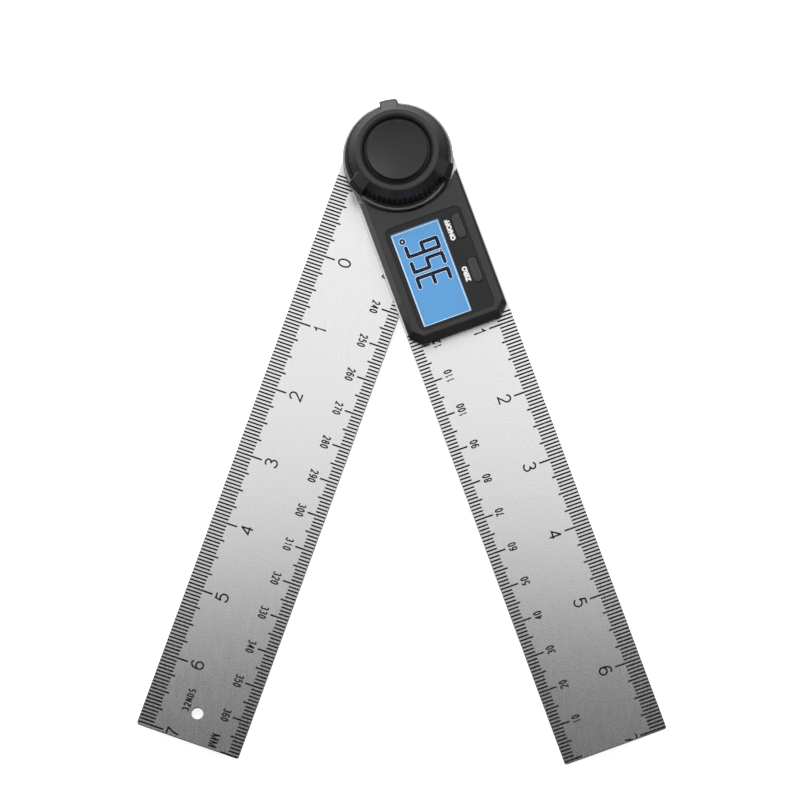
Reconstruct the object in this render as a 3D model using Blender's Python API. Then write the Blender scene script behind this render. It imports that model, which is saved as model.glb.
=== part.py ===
"""Digital angle finder: two flat steel arms on one pivot, a display housing and a lock knob.

Each arm is modelled in its own frame, with the pivot at the origin and the arm running
along -Y. Two empties turn these frames to the opening at which the tool lies.
Heights are counted up from the table, where the rear cap stands.
"""

import math

import bmesh
import bpy

mm = 0.001

# Arms
blade_width = 29.0 * mm
blade_thickness = 1.2 * mm
display_reach = 171.9 * mm
plain_reach = 169.2 * mm
display_swing = math.radians(19.82)
plain_swing = math.radians(19.62)
blade_corner = 0.6 * mm
hang_hole_radius = 1.62 * mm
hang_hole_inset = 8.0 * mm

# Clearances
layer_gap = 0.15 * mm
blade_gap = 0.1 * mm
running_clearance = 0.08 * mm
fitted_clearance = 0.15 * mm
sliding_clearance = 0.2 * mm
overrun = 1.0 * mm

# Pivot shaft, its flange and rivets
shaft_radius = 4.0 * mm
shaft_chamfer = 0.4 * mm
shaft_stand = 9.9 * mm
flange_radius = 9.0 * mm
flange_thickness = 0.7 * mm
rivet_count = 4
rivet_radius = 0.9 * mm
rivet_circle = 6.6 * mm

# Rear cap
cap_radius = 11.5 * mm
cap_floor = 0.6 * mm
cap_wall = 1.5 * mm
cap_edge = 0.3 * mm

# Washers and bush on the pivot
blade_washer_radius = 12.0 * mm
blade_washer_bore = 5.2 * mm
blade_washer_thickness = 0.3 * mm
bush_wall = 0.8 * mm
bush_flange = 1.4 * mm
bush_flange_thickness = 0.3 * mm
wave_washer_radius = 8.5 * mm
wave_washer_thickness = 0.2 * mm
wave_rise = 0.1 * mm
wave_count = 3
thrust_washer_radius = 9.0 * mm
thrust_washer_thickness = 0.6 * mm

# Encoder and dial disc
dial_overhang = 0.5 * mm
dial_radius = blade_width / 2 + dial_overhang
dial_wall = 0.85 * mm
dial_lift = 0.6 * mm
dial_height = 5.4 * mm
dial_plate = 1.0 * mm
dial_edge = 0.3 * mm
dial_hub_margin = 0.7 * mm
wave_washer_room = 0.65 * mm
stator_margin = 0.3 * mm
rotor_margin = 0.5 * mm
stator_inner_radius = 7.0 * mm
stator_outer_radius = dial_radius - dial_wall - stator_margin
stator_thickness = 0.8 * mm
rotor_radius = dial_radius - dial_wall - rotor_margin
rotor_thickness = 0.5 * mm
encoder_gap = 0.3 * mm

# Lock knob
knob_lift = 0.35 * mm
knob_step_in = 1.1 * mm
knob_band_radius = dial_radius - knob_step_in
knob_band_taper = 0.5 * mm
knob_shoulder_radius = knob_band_radius - knob_band_taper
knurl_depth = 0.5 * mm
knurl_count = 60
knob_band_height = 4.35 * mm
knob_cone_height = 2.95 * mm
knob_cone_taper = 1.9 * mm
knob_ring_radius = knob_shoulder_radius - knob_cone_taper
knob_ring_edge = 0.3 * mm
knob_height = 7.65 * mm
knob_ring_width = 1.1 * mm
knob_recess_depth = 1.5 * mm
knob_recess_taper = 1.3 * mm
knob_web = 1.4 * mm
knob_skirt_wall = 2.3 * mm
knob_roof = 3.6 * mm
knob_boss_wall = 1.4 * mm
knob_boss_lift = 0.6 * mm
lobe_reach = 1.5 * mm
lobe_top_reach = 0.8 * mm
lobe_wall_height = 2.35 * mm
lobe_radius = knob_band_radius + lobe_reach
lobe_count = 3
lobe_start = 87.0
lobe_span = 17.5
lobe_slope = 4.5
lobe_step = 0.6
insert_wall = 2.4 * mm
insert_length = 4.0 * mm
cap_disc_gap = 0.3 * mm
cap_disc_thickness = 1.15 * mm
cap_disc_edge = 0.35 * mm
cap_dish_depth = 0.8 * mm

# Display housing, measured from the pivot along the arm and across it
housing_margin = 0.5 * mm
housing_half_width = blade_width / 2 - housing_margin
housing_arc_gap = 1.0 * mm
housing_arc_radius = dial_radius + housing_arc_gap
cell_side_room = 4.0 * mm
cell_near_room = 6.5 * mm
cell_far_room = 8.1 * mm
cell_radius = housing_half_width - cell_side_room
cell_place = housing_arc_radius + cell_near_room + cell_radius
housing_end = cell_place + cell_radius + cell_far_room
housing_height = 6.8 * mm
housing_slope = 1.2 * mm
housing_end_slope = 0.8 * mm
housing_corner = 2.9 * mm
housing_wall = 1.0 * mm
housing_split = 1.6 * mm
housing_seam = 0.15 * mm
housing_floor = 0.8 * mm
housing_edge = 0.25 * mm
panel_near_margin = 2.5 * mm
panel_far_margin = 2.1 * mm
panel_side_margin = 3.0 * mm
panel_start = housing_arc_radius + panel_near_margin
panel_end = housing_end - panel_far_margin
panel_half_width = housing_half_width - panel_side_margin
panel_depth = 0.4 * mm
panel_corner = 1.8 * mm
panel_roof = 0.8 * mm

# Display stack
window_near_margin = 1.65 * mm
window_far_margin = 1.1 * mm
window_side_margin = 1.5 * mm
button_strip_width = 6.75 * mm
window_start = panel_start + window_near_margin
window_end = panel_end - window_far_margin
window_left = panel_half_width - window_side_margin
window_right = panel_half_width - button_strip_width
lens_lip = 0.2 * mm
lens_lip_thickness = 0.35 * mm
lcd_thickness = 0.75 * mm
diffuser_thickness = 0.45 * mm
diffuser_inset = 1.6 * mm
strip_width = 1.0 * mm
board_near_margin = 0.3 * mm
board_far_margin = 3.0 * mm
board_side_margin = 2.7 * mm
board_start = panel_start - board_near_margin
board_end = housing_end - board_far_margin
board_half_width = housing_half_width - board_side_margin
board_thickness = 0.6 * mm
chip_size = 4.0 * mm
chip_height = 0.7 * mm
switch_size = 3.0 * mm
switch_height = 0.45 * mm
switch_plunger = 0.9 * mm
switch_plunger_height = 0.3 * mm

# Buttons
button_inset = 2.2 * mm
on_off_inset = 5.65 * mm
zero_inset = 11.35 * mm
button_across = panel_half_width - button_inset
on_off_place = panel_start + on_off_inset
zero_place = panel_end - zero_inset
chip_place = (on_off_place + zero_place) / 2
button_length = 6.9 * mm
button_width = 2.4 * mm
button_corner = 0.9 * mm
button_proud = 0.35 * mm
button_flange = 0.4 * mm
button_flange_thickness = 0.5 * mm
button_edge = 0.2 * mm

# Screws and their bosses
screw_radius = 0.7 * mm
screw_head_radius = 1.5 * mm
screw_head_height = 0.8 * mm
screw_length = 4.6 * mm
boss_radius = 1.4 * mm
near_screw_inset = 1.0 * mm
near_screw_margin = 3.2 * mm
far_screw_inset = 6.1 * mm
far_screw_margin = 2.7 * mm
near_screw_place = housing_arc_radius + near_screw_inset
near_screw_across = housing_half_width - near_screw_margin
far_screw_place = housing_end - far_screw_inset
far_screw_across = housing_half_width - far_screw_margin

# Coin cell and its cover
cell_thickness = 3.2 * mm
cell_edge = 0.3 * mm
cover_overlap = 1.0 * mm
cover_plate = 0.55 * mm
cover_set_back = 0.05 * mm
cover_ring_wall = 0.35 * mm
cover_lug_reach = 0.7 * mm
cover_lug_height = 0.45 * mm
cover_lug_count = 3
cover_lug_span = 40.0
cover_lug_start = 100.0
cover_notch_play = 2.0
cover_turn = 50.0
cover_slot_length = 12.0 * mm
cover_slot_width = 1.6 * mm
cover_slot_depth = 0.3 * mm
well_wall = 0.8 * mm
leaf_thickness = 0.15 * mm
leaf_width = 3.0 * mm
clip_width = 4.0 * mm
clip_thickness = 0.3 * mm

# Flat cable from the encoder to the board
cable_width = 5.0 * mm
cable_thickness = 0.18 * mm
cable_slot_height = 0.5 * mm
cable_rise_inset = 0.4 * mm

# Facets
round_sides = 48
inner_sides = 32
small_sides = 16
corner_steps = 4
arc_steps = 24
smooth_angle = math.radians(35.0)
full_turn = 360.0
half_turn = math.pi
quarter_turn = math.pi / 2
# A corner cut at 45 degrees shrinks by this share of the distance that its sides move in.
corner_cut_share = 2 - math.sqrt(2)

# Levels, from the table up
flange_bottom = cap_floor + layer_gap
plain_bottom = flange_bottom + flange_thickness + layer_gap
plain_top = plain_bottom + blade_thickness
blade_washer_bottom = plain_top + blade_gap
display_bottom = blade_washer_bottom + blade_washer_thickness + blade_gap
screw_bottom = display_bottom + blade_gap
deck = display_bottom + blade_thickness
rotor_bottom = deck + layer_gap + stator_thickness + encoder_gap
rotor_top = rotor_bottom + rotor_thickness
dial_hub_bottom = rotor_top + wave_washer_room
dial_top = deck + dial_height
dial_underside = dial_top - dial_plate
thrust_bottom = dial_top + layer_gap
knob_bottom = dial_top + knob_lift
knob_top = knob_bottom + knob_height
knob_cone_bottom = knob_bottom + knob_band_height
knob_cone_top = knob_cone_bottom + knob_cone_height
knob_seat = knob_top - knob_recess_depth
shaft_top = deck + shaft_stand
housing_top = deck + housing_height
panel_level = housing_top - panel_depth
roof_underside = panel_level - panel_roof
split_level = deck + housing_split
floor_top = deck + layer_gap + housing_floor
lens_lip_bottom = roof_underside - blade_gap - lens_lip_thickness
lcd_bottom = lens_lip_bottom - blade_gap - lcd_thickness
diffuser_bottom = lcd_bottom - blade_gap - diffuser_thickness
board_top = diffuser_bottom - blade_gap
board_bottom = board_top - board_thickness
cover_bottom = display_bottom + cover_set_back
cover_plate_top = cover_bottom + cover_plate
cell_bottom = cover_plate_top + blade_gap
cell_top = cell_bottom + cell_thickness
lug_bottom = floor_top + layer_gap

half_width = blade_width / 2
shaft_bore = shaft_radius + fitted_clearance
bush_bore = shaft_radius + running_clearance
bush_radius = bush_bore + bush_wall
blade_bore = bush_radius + running_clearance
cover_ring_bore = cell_radius + fitted_clearance
cover_ring_radius = cover_ring_bore + cover_ring_wall
cover_lug_radius = cover_ring_radius + cover_lug_reach
cover_radius = cell_radius + cover_overlap
floor_opening = cover_ring_radius + sliding_clearance
notch_radius = cover_lug_radius + sliding_clearance
screw_places = (
    (near_screw_across, near_screw_place),
    (-near_screw_across, near_screw_place),
    (far_screw_across, far_screw_place),
    (-far_screw_across, far_screw_place),
)

looks = {
    "blade_steel": ((0.62, 0.62, 0.61), 0.35, 1.0),
    "turned_steel": ((0.55, 0.55, 0.55), 0.3, 1.0),
    "brass": ((0.72, 0.52, 0.2), 0.35, 1.0),
    "housing_plastic": ((0.035, 0.036, 0.038), 0.5, 0.0),
    "knob_plastic": ((0.03, 0.03, 0.032), 0.45, 0.0),
    "button_rubber": ((0.06, 0.06, 0.063), 0.6, 0.0),
    "nylon": ((0.8, 0.79, 0.74), 0.5, 0.0),
    "board": ((0.03, 0.16, 0.07), 0.5, 0.0),
    "lcd_glass": ((0.15, 0.4, 0.75), 0.2, 0.0),
    "clear_lens": ((0.85, 0.88, 0.9), 0.05, 0.0),
    "diffuser": ((0.85, 0.88, 0.9), 0.4, 0.0),
    "strip_rubber": ((0.25, 0.25, 0.26), 0.7, 0.0),
    "chip": ((0.02, 0.02, 0.02), 0.4, 0.0),
    "cable_film": ((0.6, 0.35, 0.08), 0.4, 0.0),
}


def clear_scene():
    for old in list(bpy.data.objects):
        bpy.data.objects.remove(old, do_unlink=True)


def material(look):
    found = bpy.data.materials.get(look)
    if found:
        return found
    colour, roughness, metallic = looks[look]
    made = bpy.data.materials.new(look)
    made.use_nodes = True
    shader = made.node_tree.nodes["Principled BSDF"]
    shader.inputs["Base Color"].default_value = (*colour, 1.0)
    shader.inputs["Roughness"].default_value = roughness
    shader.inputs["Metallic"].default_value = metallic
    made.diffuse_color = (*colour, 1.0)
    return made


def frame_empty(name, turn=0.0, parent=None, place=(0, 0, 0)):
    """An empty on a joint's axis, which carries the pieces of one body."""
    empty = bpy.data.objects.new(name, None)
    bpy.context.scene.collection.objects.link(empty)
    empty.location = place
    empty.rotation_euler = (0, 0, turn)
    empty.parent = parent
    return empty


def finish_object(name, bm, parent, look, place=(0, 0, 0)):
    bmesh.ops.recalc_face_normals(bm, faces=bm.faces)
    mesh = bpy.data.meshes.new(name)
    bm.to_mesh(mesh)
    bm.free()
    made = bpy.data.objects.new(name, mesh)
    bpy.context.scene.collection.objects.link(made)
    made.parent = parent
    made.location = place
    mesh.materials.append(material(look))
    mesh.shade_smooth()
    mesh.set_sharp_from_angle(angle=smooth_angle)
    return made


def cutter(name, bm, parent, place=(0, 0, 0)):
    tool = finish_object(name, bm, parent, "chip", place)
    tool.hide_render = True
    tool.display_type = "WIRE"
    return tool


def cut(body, tool, operation="DIFFERENCE"):
    step = body.modifiers.new(tool.name, "BOOLEAN")
    step.object = tool
    step.operation = operation
    step.solver = "EXACT"


def soften(body, width, segments=2):
    bevel = body.modifiers.new("edge", "BEVEL")
    bevel.width = width
    bevel.segments = segments
    bevel.limit_method = "ANGLE"
    bevel.angle_limit = smooth_angle


def loft(bm, low, low_level, high, high_level):
    """Joins two outlines with the same number of points into one closed solid."""
    under = [bm.verts.new((x, y, low_level)) for x, y in low]
    over = [bm.verts.new((x, y, high_level)) for x, y in high]
    bm.faces.new(under)
    bm.faces.new(over)
    for here in range(len(under)):
        after = (here + 1) % len(under)
        bm.faces.new((under[here], under[after], over[after], over[here]))
    return bm


def prism(bm, outline, low_level, high_level):
    return loft(bm, outline, low_level, outline, high_level)


def turned(bm, profile_at, angles):
    """Turns a closed outline of radius and height round the Z axis.

    profile_at gives the outline at an angle, so that it may change on the way round.
    """
    rings = []
    profiles = [profile_at(angle) for angle in angles]
    for place in range(len(profiles[0])):
        if profiles[0][place][0] == 0:
            tip = bm.verts.new((0, 0, profiles[0][place][1]))
            rings.append([tip] * len(angles))
            continue
        loop = []
        for angle, profile in zip(angles, profiles):
            radius, level = profile[place]
            turn = math.radians(angle)
            point = (radius * math.cos(turn), radius * math.sin(turn), level)
            loop.append(bm.verts.new(point))
        rings.append(loop)
    for place, loop in enumerate(rings):
        other = rings[(place + 1) % len(rings)]
        for here in range(len(angles)):
            after = (here + 1) % len(angles)
            corners = [loop[here], loop[after], other[after], other[here]]
            corners = list(dict.fromkeys(corners))
            if len(corners) > 2:
                bm.faces.new(corners)
    return bm


def even_angles(sides):
    return [full_turn * side / sides for side in range(sides)]


def lathe(profile, sides=round_sides):
    return turned(bmesh.new(), lambda angle: profile, even_angles(sides))


def ring(inner, outer, low, high, sides=round_sides):
    return lathe([(outer, low), (outer, high), (inner, high), (inner, low)], sides)


def rod(radius, low, high, sides=small_sides):
    return lathe([(0, low), (radius, low), (radius, high), (0, high)], sides)


def quarter(centre, radius, number):
    """The points of a rounded corner, which starts after this number of right angles."""
    points = []
    for step in range(corner_steps + 1):
        turn = (number + step / corner_steps) * quarter_turn
        x = centre[0] + radius * math.cos(turn)
        y = centre[1] + radius * math.sin(turn)
        points.append((x, y))
    return points


def rounded_box(left, right, near, far, radius):
    """A rectangle across the arm from left to right, and along it from near to far."""
    points = quarter((right - radius, -near - radius), radius, 0)
    points += quarter((left + radius, -near - radius), radius, 1)
    points += quarter((left + radius, -far + radius), radius, 2)
    points += quarter((right - radius, -far + radius), radius, 3)
    return points


def box(left, right, near, far):
    return [(right, -near), (left, -near), (left, -far), (right, -far)]


def blade_outline(reach):
    """A strip with a half-round end about the pivot and a square end at its reach."""
    points = []
    for step in range(arc_steps + 1):
        turn = half_turn * step / arc_steps
        points.append((half_width * math.cos(turn), half_width * math.sin(turn)))
    left_centre = (-half_width + blade_corner, -reach + blade_corner)
    right_centre = (half_width - blade_corner, -reach + blade_corner)
    points += quarter(left_centre, blade_corner, 2)
    points += quarter(right_centre, blade_corner, 3)
    return points


def blade(name, reach, level, parent):
    bm = prism(bmesh.new(), blade_outline(reach), level, level + blade_thickness)
    return finish_object(name, bm, parent, "blade_steel")


def drill(body, name, radius, parent, place=(0, 0), sides=round_sides, span=None):
    low, high = span or (-overrun, knob_top)
    hole = rod(radius, low, high, sides)
    cut(body, cutter(name, hole, parent, (place[0], -place[1], 0)))


def plain_arm(parent):
    body = blade("plain_blade", plain_reach, plain_bottom, parent)
    drill(body, "plain_bore_cut", shaft_bore, parent)
    hang_place = (0, plain_reach - hang_hole_inset)
    drill(body, "hang_hole_cut", hang_hole_radius, parent, hang_place, small_sides)
    for number, place in enumerate(rivet_places()):
        hole = f"plain_rivet_cut_{number}"
        drill(body, hole, rivet_radius + fitted_clearance, parent, place, small_sides)
    return body


def display_arm(parent):
    body = blade("display_blade", display_reach, display_bottom, parent)
    drill(body, "display_bore_cut", blade_bore, parent)
    opening = cover_radius + sliding_clearance
    drill(body, "cover_opening_cut", opening, parent, (0, cell_place))
    for number, (across, along) in enumerate(screw_places):
        tool = cutter(f"screw_cut_{number}", screw_hole(), parent, (across, -along, 0))
        cut(body, tool)
    return body


def screw_hole():
    """A countersunk hole through the display blade, open to its back."""
    head = screw_head_radius + sliding_clearance
    shank = screw_radius + sliding_clearance
    profile = [
        (0, display_bottom - overrun),
        (head, display_bottom - overrun),
        (head, screw_bottom),
        (shank, display_bottom + screw_head_height),
        (shank, deck + overrun),
        (0, deck + overrun),
    ]
    return lathe(profile, small_sides)


def rivet_places():
    places = []
    for number in range(rivet_count):
        turn = math.radians(full_turn * (number + 0.5) / rivet_count)
        places.append((rivet_circle * math.cos(turn), rivet_circle * math.sin(turn)))
    return places


def pivot_shaft(parent):
    top = shaft_top
    profile = [
        (0, flange_bottom),
        (flange_radius, flange_bottom),
        (flange_radius, flange_bottom + flange_thickness),
        (shaft_radius, flange_bottom + flange_thickness),
        (shaft_radius, top - shaft_chamfer),
        (shaft_radius - shaft_chamfer, top),
        (0, top),
    ]
    body = finish_object("pivot_shaft", lathe(profile), parent, "turned_steel")
    for number, place in enumerate(rivet_places()):
        hole = f"flange_rivet_cut_{number}"
        span = (-overrun, plain_bottom)
        radius = rivet_radius + fitted_clearance
        drill(body, hole, radius, parent, place, small_sides, span)
    return body


def hub_rivets(parent):
    for number, (x, y) in enumerate(rivet_places(), 1):
        pin = rod(rivet_radius, flange_bottom, plain_top - blade_gap / 2)
        finish_object(f"hub_rivet_{number}", pin, parent, "turned_steel", (x, -y, 0))


def rear_cap(parent):
    top = plain_bottom - layer_gap
    profile = [
        (0, 0),
        (cap_radius - cap_edge, 0),
        (cap_radius, cap_edge),
        (cap_radius, top),
        (cap_radius - cap_wall, top),
        (cap_radius - cap_wall, cap_floor),
        (0, cap_floor),
    ]
    finish_object("rear_cap", lathe(profile), parent, "knob_plastic")


def blade_washer(parent):
    top = blade_washer_bottom + blade_washer_thickness
    bm = ring(blade_washer_bore, blade_washer_radius, blade_washer_bottom, top)
    finish_object("blade_washer", bm, parent, "nylon")


def pivot_bush(parent):
    flange_low = deck + blade_gap
    flange_high = flange_low + bush_flange_thickness
    profile = [
        (bush_bore, display_bottom),
        (bush_radius, display_bottom),
        (bush_radius, flange_low),
        (bush_radius + bush_flange, flange_low),
        (bush_radius + bush_flange, flange_high),
        (bush_bore, flange_high),
    ]
    finish_object("pivot_bush", lathe(profile), parent, "brass")


def encoder(display_parent, plain_parent):
    low = deck + blade_gap
    high = low + stator_thickness
    stator = ring(stator_inner_radius, stator_outer_radius, low, high, inner_sides)
    finish_object("encoder_stator", stator, display_parent, "board")
    rotor = ring(shaft_bore, rotor_radius, rotor_bottom, rotor_top, inner_sides)
    finish_object("encoder_rotor", rotor, plain_parent, "board")


def wave_washer(parent):
    """A thin spring washer that rises and falls as it goes round."""
    middle = (rotor_top + dial_hub_bottom) / 2

    def profile_at(angle):
        level = middle + wave_rise * math.sin(math.radians(wave_count * angle))
        low = level - wave_washer_thickness / 2
        high = level + wave_washer_thickness / 2
        bore = shaft_bore + fitted_clearance
        rim = wave_washer_radius
        return [(rim, low), (rim, high), (bore, high), (bore, low)]

    bm = turned(bmesh.new(), profile_at, even_angles(round_sides))
    finish_object("wave_washer", bm, parent, "turned_steel")


def dial_disc(parent):
    """A disc with a skirt round the encoder and a hub that rests on the spring washer."""
    low = deck + dial_lift
    hub_radius = wave_washer_radius + dial_hub_margin
    profile = [
        (shaft_bore, dial_hub_bottom),
        (hub_radius, dial_hub_bottom),
        (hub_radius, dial_underside),
        (dial_radius - dial_wall, dial_underside),
        (dial_radius - dial_wall, low),
        (dial_radius, low),
        (dial_radius, dial_top - dial_edge),
        (dial_radius - dial_edge, dial_top),
        (shaft_bore, dial_top),
    ]
    finish_object("dial_disc", lathe(profile), parent, "housing_plastic")


def thrust_washer(parent):
    bore = shaft_radius + fitted_clearance + running_clearance
    top = thrust_bottom + thrust_washer_thickness
    bm = ring(bore, thrust_washer_radius, thrust_bottom, top, inner_sides)
    finish_object("thrust_washer", bm, parent, "brass")


def lobe_share(angle):
    """How much of a lobe stands at this angle: 1 on a lobe, 0 between two of them."""
    pitch = full_turn / lobe_count
    along = (angle - lobe_start) % pitch
    if along <= lobe_slope:
        return along / lobe_slope
    if along <= lobe_slope + lobe_span:
        return 1.0
    past = along - lobe_slope - lobe_span
    return max(0.0, 1.0 - past / lobe_step)


def knob_angles():
    """Two angles for each tooth, and the corners of the lobes."""
    count = knurl_count * 2
    angles = [full_turn * number / count for number in range(count)]
    for number in range(lobe_count):
        start = lobe_start + number * full_turn / lobe_count
        corners = (0, lobe_slope, lobe_slope + lobe_span)
        angles += [(start + corner) % full_turn for corner in corners]
        angles.append((start + lobe_slope + lobe_span + lobe_step) % full_turn)
    return sorted({round(angle, 3) for angle in angles})


def knob_outer(angle):
    """The knob's outer profile at an angle: grooved band, lobes, cone and ring.

    A groove runs straight up and out through the cone, whose surface it leaves smooth.
    """
    lobe = lobe_share(angle)
    crest_share = 0.5 + 0.5 * math.cos(math.radians(angle * knurl_count))
    groove = knurl_depth * (1 - crest_share) * (1 - lobe)
    wall_share = lobe_wall_height / knob_band_height
    foot = knob_band_radius + lobe * (lobe_radius - knob_band_radius) - groove
    wall = knob_band_radius - wall_share * knob_band_taper
    wall += lobe * (lobe_radius - wall) - groove
    shoulder = knob_shoulder_radius + lobe * lobe_top_reach - groove
    rise = groove * knob_cone_height / knob_cone_taper
    inner = knob_ring_radius - knob_ring_edge - knob_ring_width
    seat = inner - knob_recess_taper
    return [
        (0, knob_bottom),
        (foot, knob_bottom),
        (wall, knob_bottom + lobe_wall_height),
        (shoulder, knob_cone_bottom + rise),
        (knob_ring_radius, knob_cone_top),
        (knob_ring_radius - knob_ring_edge, knob_top),
        (inner, knob_top),
        (seat, knob_top - knob_recess_taper),
        (seat, knob_seat),
        (0, knob_seat),
    ]


def knob_hollow():
    """The underside: a round channel between the skirt and the boss."""
    inner = shaft_radius + fitted_clearance + insert_wall + fitted_clearance
    boss = inner + knob_boss_wall
    skirt = knob_band_radius - knob_skirt_wall
    below = knob_bottom - overrun
    roof = knob_top - knob_roof
    channel = [(boss, below), (skirt, below), (skirt, roof), (boss, roof)]
    socket_top = knob_seat - knob_web
    socket = [(0, below), (inner, below), (inner, socket_top), (0, socket_top)]
    relief = [(0, below), (boss + overrun, below)]
    relief += [(boss + overrun, knob_bottom + knob_boss_lift)]
    relief += [(0, knob_bottom + knob_boss_lift)]
    return lathe(channel), lathe(socket), lathe(relief)


def knob_body(parent):
    bm = turned(bmesh.new(), knob_outer, knob_angles())
    body = finish_object("knob_body", bm, parent, "knob_plastic")
    for name, hollow in zip(("channel", "socket", "relief"), knob_hollow()):
        cut(body, cutter(f"knob_{name}_cut", hollow, parent))


def knob_insert(parent):
    bore = shaft_radius + fitted_clearance
    low = knob_bottom + knob_boss_lift
    bm = ring(bore, bore + insert_wall, low, low + insert_length, inner_sides)
    finish_object("knob_insert", bm, parent, "brass")


def knob_cap(parent):
    seat = knob_ring_radius - knob_ring_edge - knob_ring_width - knob_recess_taper
    radius = seat - cap_disc_gap
    low = knob_seat + blade_gap
    high = low + cap_disc_thickness
    rim = radius - cap_disc_edge
    profile = [(0, low), (radius, low), (radius, high - cap_disc_edge), (rim, high)]
    steps = corner_steps + 1
    for step in range(1, steps):
        share = 1 - step / steps
        level = high - cap_dish_depth * (1 - share * share)
        profile.append((rim * share, level))
    profile.append((0, high - cap_dish_depth))
    finish_object("knob_cap", lathe(profile), parent, "knob_plastic")


def housing_outline(half, end, corner, radius):
    """Seen from above: a hollow arc about the pivot, straight sides and cut corners."""
    reach = math.asin(half / radius)
    points = []
    for step in range(arc_steps + 1):
        turn = reach - 2 * reach * step / arc_steps
        points.append((radius * math.sin(turn), -radius * math.cos(turn)))
    points += [(-half, -end + corner), (-half + corner, -end)]
    points += [(half - corner, -end), (half, -end + corner)]
    return points


def inner_outline(inset):
    half = housing_half_width - inset
    corner = housing_corner - inset * corner_cut_share
    return housing_outline(half, housing_end - inset, corner, housing_arc_radius + inset)


def housing_cavity(name, low_inset, low, high_inset, high, parent):
    """The hollow of a shell, which leaves the screw bosses standing."""
    bm = loft(bmesh.new(), inner_outline(low_inset), low, inner_outline(high_inset), high)
    hollow = cutter(f"{name}_hollow", bm, parent)
    for number, (across, along) in enumerate(screw_places):
        place = (across, -along, 0)
        boss = rod(boss_radius, low - overrun, high + overrun)
        cut(hollow, cutter(f"{name}_boss_{number}", boss, parent, place))
    return hollow


def pilot_holes(body, name, low, high, parent):
    for number, place in enumerate(screw_places):
        radius = screw_radius + fitted_clearance
        hole = f"{name}_pilot_{number}"
        drill(body, hole, radius, parent, place, small_sides, (low, high))


def housing_cover(parent):
    low = split_level + housing_seam
    half = housing_half_width - housing_slope
    end = housing_end - housing_end_slope
    corner = housing_corner - housing_slope * corner_cut_share
    top = housing_outline(half, end, corner, housing_arc_radius)
    bm = loft(bmesh.new(), inner_outline(0), low, top, housing_top)
    body = finish_object("housing_cover", bm, parent, "housing_plastic")
    soften(body, housing_edge)
    top_inset = housing_wall + housing_slope
    hollow = housing_cavity(
        "cover", housing_wall, low - overrun, top_inset, roof_underside, parent
    )
    cut(body, hollow)
    recess = rounded_box(
        -panel_half_width, panel_half_width, panel_start, panel_end, panel_corner
    )
    above = housing_top + overrun
    cut(body, cutter("panel_cut", prism(bmesh.new(), recess, panel_level, above), parent))
    window = box(-window_left, window_right, window_start, window_end)
    bm = prism(bmesh.new(), window, lcd_bottom, above)
    cut(body, cutter("window_cut", bm, parent))
    for name, along in (("on_off", on_off_place), ("zero", zero_place)):
        bm = prism(bmesh.new(), key_outline(sliding_clearance), lcd_bottom, above)
        place = (button_across, -along, 0)
        cut(body, cutter(f"{name}_slot_cut", bm, parent, place))
    pilot_holes(body, "cover", low - overrun, display_bottom + screw_length, parent)
    return body


def key_outline(margin):
    """A button seen from above, about its own centre, with this margin round it."""
    across = button_width / 2 + margin
    along = button_length / 2 + margin
    return rounded_box(-across, across, -along, along, button_corner + margin)


def floor_opening_outline():
    """The round way in for the cell, widened where the cover's lugs pass."""
    points = []
    pitch = full_turn / cover_lug_count
    start = cover_lug_start - cover_turn - cover_notch_play
    span = cover_lug_span + 2 * cover_notch_play
    angles = even_angles(round_sides)
    for number in range(cover_lug_count):
        edge = start + number * pitch
        angles += [edge, edge + cover_notch_play / 2]
        angles += [edge + span - cover_notch_play / 2, edge + span]
    for angle in sorted({round(value % full_turn, 3) for value in angles}):
        along = (angle - start) % pitch
        inside = cover_notch_play / 4 < along < span - cover_notch_play / 4
        radius = notch_radius if inside else floor_opening
        turn = math.radians(angle)
        points.append((radius * math.cos(turn), radius * math.sin(turn)))
    return points


def housing_base(parent):
    low = deck + layer_gap
    bm = prism(bmesh.new(), inner_outline(0), low, split_level)
    body = finish_object("housing_base", bm, parent, "housing_plastic")
    hollow = housing_cavity(
        "base", housing_wall, floor_top, housing_wall, split_level + overrun, parent
    )
    well_inner = notch_radius + layer_gap
    well = ring(well_inner, well_inner + well_wall, low - overrun, board_top)
    cut(hollow, cutter("well_wall_keep", well, parent, (0, -cell_place, 0)))
    cut(body, hollow)
    opening = prism(bmesh.new(), floor_opening_outline(), low - overrun, floor_top + overrun)
    cut(body, cutter("cell_opening_cut", opening, parent, (0, -cell_place, 0)))
    side = cable_width / 2 + sliding_clearance
    rise = board_start + cable_rise_inset
    slot = box(-side, side, housing_arc_radius - overrun, rise)
    bm = prism(bmesh.new(), slot, low - overrun, low + cable_slot_height)
    cut(body, cutter("cable_slot_cut", bm, parent))
    way_up = box(-side, side, rise - cable_rise_inset, rise + cable_rise_inset)
    bm = prism(bmesh.new(), way_up, low - overrun, floor_top + overrun)
    cut(body, cutter("cable_rise_cut", bm, parent))
    pilot_holes(body, "base", low - overrun, split_level + overrun, parent)
    return body


def display_stack(parent):
    lens(parent)
    margin = lens_lip
    glass = box(
        -window_left - margin, window_right + margin, window_start - margin, window_end + margin
    )
    bm = prism(bmesh.new(), glass, lcd_bottom, lcd_bottom + lcd_thickness)
    finish_object("lcd_panel", bm, parent, "lcd_glass")
    near = window_start + diffuser_inset
    far = window_end - diffuser_inset
    sheet = box(-window_left, window_right, near, far)
    bm = prism(bmesh.new(), sheet, diffuser_bottom, diffuser_bottom + diffuser_thickness)
    finish_object("backlight_diffuser", bm, parent, "diffuser")
    near_strip = near - sliding_clearance - strip_width
    far_strip = far + sliding_clearance
    for side, start in (("near", near_strip), ("far", far_strip)):
        strip = box(-window_left, window_right, start, start + strip_width)
        bm = prism(bmesh.new(), strip, diffuser_bottom, diffuser_bottom + diffuser_thickness)
        finish_object(f"{side}_connector_strip", bm, parent, "strip_rubber")


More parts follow.
